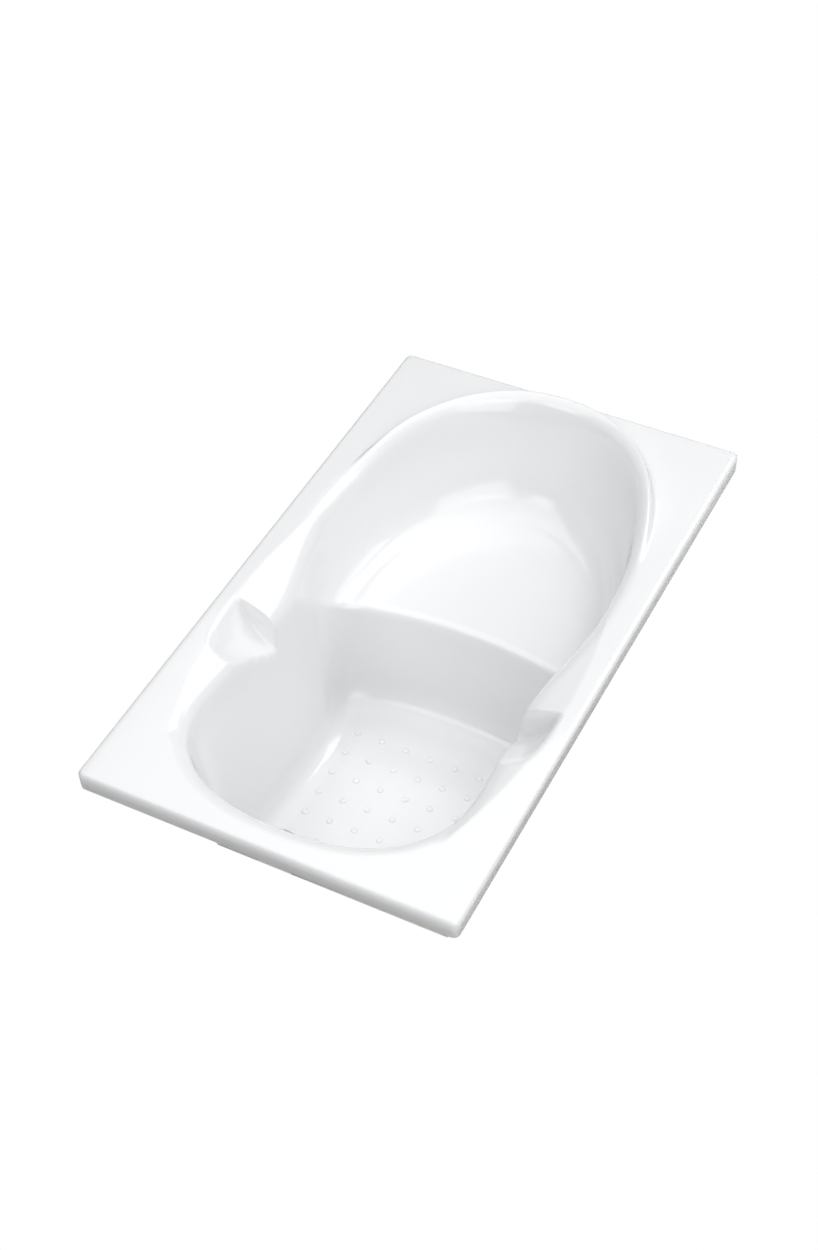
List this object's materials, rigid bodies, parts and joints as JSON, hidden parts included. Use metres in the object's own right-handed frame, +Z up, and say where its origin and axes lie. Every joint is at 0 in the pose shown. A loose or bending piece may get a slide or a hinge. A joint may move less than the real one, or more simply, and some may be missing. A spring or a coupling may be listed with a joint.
{
  "type": "japanese soaking tub",
  "caption": "Compact white built-in soaking tub with a moulded seat, a deep foot well, hand grips, a levelling frame and a pop-up waste.",
  "frame": {"origin": "on the floor, under the middle of the rim", "axes": "+X across the tub to its right side, +Y along it from the foot end to the seat end, +Z up"},
  "size_m": [0.7, 1.2, 0.5855],
  "materials": {
    "acrylic": "glossy white acrylic",
    "board": "raw particle board",
    "batten": "planed softwood",
    "frame": "zinc plated tube",
    "cap": "black moulded plastic",
    "rubber": "black rubber",
    "fastener": "zinc plated",
    "chrome": "polished chrome",
    "pipe": "white moulded plastic",
    "hose": "grey ribbed plastic",
    "cable": "black sheath"
  },
  "bodies": {
    "tub": {"bath_shell": "acrylic", "base_board": "board", "seat_board": "board", "side_batten_left": "batten", "side_batten_right": "batten", "end_batten": "batten", "rail_left": "frame", "rail_right": "frame", "cross_tube_front": "frame", "cross_tube_middle": "frame", "cross_tube_rear": "frame", "seat_post_front_left": "frame", "seat_post_front_right": "frame", "seat_post_rear_left": "frame", "seat_post_rear_right": "frame", "seat_tube_front": "frame", "seat_tube_rear": "frame", "tube_caps": "cap", "board_screws": "fastener", "seat_board_screws": "fastener", "lock_nuts": "fastener", "waste_flange": "chrome", "waste_gasket": "rubber", "waste_washer": "rubber", "waste_body": "pipe", "lifter_pin": "fastener", "trap_body": "pipe", "trap_nut": "pipe", "overflow_plate": "chrome", "overflow_gasket": "rubber", "overflow_body": "pipe", "overflow_hose": "hose", "hose_nuts": "cap", "control_cable": "cable"},
    "foot_front_left": {"foot_rod_front_left": "fastener", "foot_pad_front_left": "rubber"},
    "foot_front_right": {"foot_rod_front_right": "fastener", "foot_pad_front_right": "rubber"},
    "foot_rear_left": {"foot_rod_rear_left": "fastener", "foot_pad_rear_left": "rubber"},
    "foot_rear_right": {"foot_rod_rear_right": "fastener", "foot_pad_rear_right": "rubber"},
    "knob": {"overflow_knob": "chrome", "cable_cam": "pipe"},
    "popup_plug": {"plug": "chrome", "plug_seal": "rubber"},
    "lifter": {"lifter_arm": "pipe"}
  },
  "joints": [
    {"name": "foot_front_left_height", "type": "slide", "parent": "tub", "child": "foot_front_left", "axis": [0, 0, 1], "range_m": [-0.015, 0.015]},
    {"name": "foot_front_right_height", "type": "slide", "parent": "tub", "child": "foot_front_right", "axis": [0, 0, 1], "range_m": [-0.015, 0.015]},
    {"name": "foot_rear_left_height", "type": "slide", "parent": "tub", "child": "foot_rear_left", "axis": [0, 0, 1], "range_m": [-0.015, 0.015]},
    {"name": "foot_rear_right_height", "type": "slide", "parent": "tub", "child": "foot_rear_right", "axis": [0, 0, 1], "range_m": [-0.015, 0.015]},
    {"name": "knob_turn", "type": "hinge", "parent": "tub", "child": "knob", "pos_m": [0, -0.53067, 0.477], "axis": [0, -0.9929, -0.1191], "range_deg": [0, 90]},
    {"name": "plug_lift", "type": "slide", "parent": "tub", "child": "popup_plug", "axis": [0, 0, 1], "range_m": [0, 0.008]},
    {"name": "lifter_swing", "type": "hinge", "parent": "tub", "child": "lifter", "pos_m": [0, -0.379, 0.0986], "axis": [-1, 0, 0], "range_deg": [0, 30]}
  ],
  "couplings": [
    {"joint": "plug_lift", "follows": "knob_turn", "m_per_rad": 0.00509},
    {"joint": "lifter_swing", "follows": "knob_turn", "ratio": 0.3333}
  ]
}
